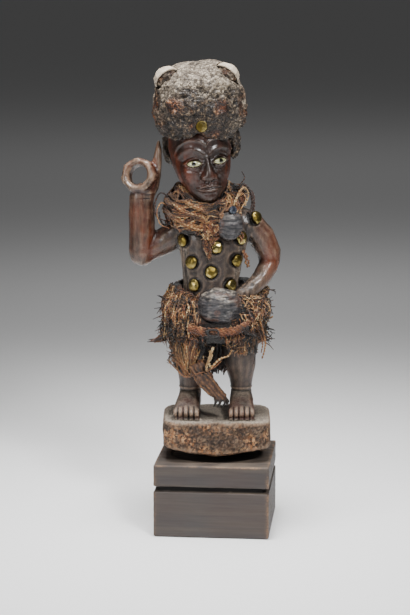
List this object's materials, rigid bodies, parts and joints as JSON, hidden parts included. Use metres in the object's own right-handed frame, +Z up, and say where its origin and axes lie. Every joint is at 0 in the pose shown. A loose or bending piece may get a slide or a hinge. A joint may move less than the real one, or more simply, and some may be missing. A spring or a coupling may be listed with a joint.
{
  "type": "nkisi nkondi figure",
  "caption": "Carved Kongo power figure with raised ring hand, resin head charge, brass tacks and raffia, on a wooden socle.",
  "frame": {"origin": "middle of the socle's underside", "axes": "+Z up, the socle's front faces -Y, +X to the viewer's right"},
  "size_m": [0.1196, 0.089, 0.357],
  "materials": {
    "socle_wood": "satin",
    "carved_wood": "satin",
    "resin": "matte",
    "shell": "satin",
    "glass": "gloss",
    "brass": "gloss",
    "dark_stud": "satin",
    "raffia": "matte",
    "hide": "matte"
  },
  "bodies": {
    "root": {"plinth_lower_block": "socle_wood", "plinth_top_board": "socle_wood", "carved_figure": "carved_wood", "head_charge": "resin", "shoulder_charge": "resin", "belly_charge": "resin", "crown_shell_right": "shell", "crown_shell_left": "shell", "eye_glass_right": "glass", "eye_glass_left": "glass", "tack_right_breast": "brass", "tack_left_breast": "brass", "tack_breastbone": "brass", "tack_right_rib": "brass", "tack_left_rib": "brass", "tack_midriff": "brass", "tack_right_waist": "brass", "tack_left_waist": "brass", "tack_left_shoulder": "brass", "tack_forehead": "brass", "shoulder_stud": "dark_stud", "neck_cloth": "raffia", "raffia_skirt": "raffia", "waist_cord": "raffia", "dried_paw": "hide"}
  },
  "joints": []
}
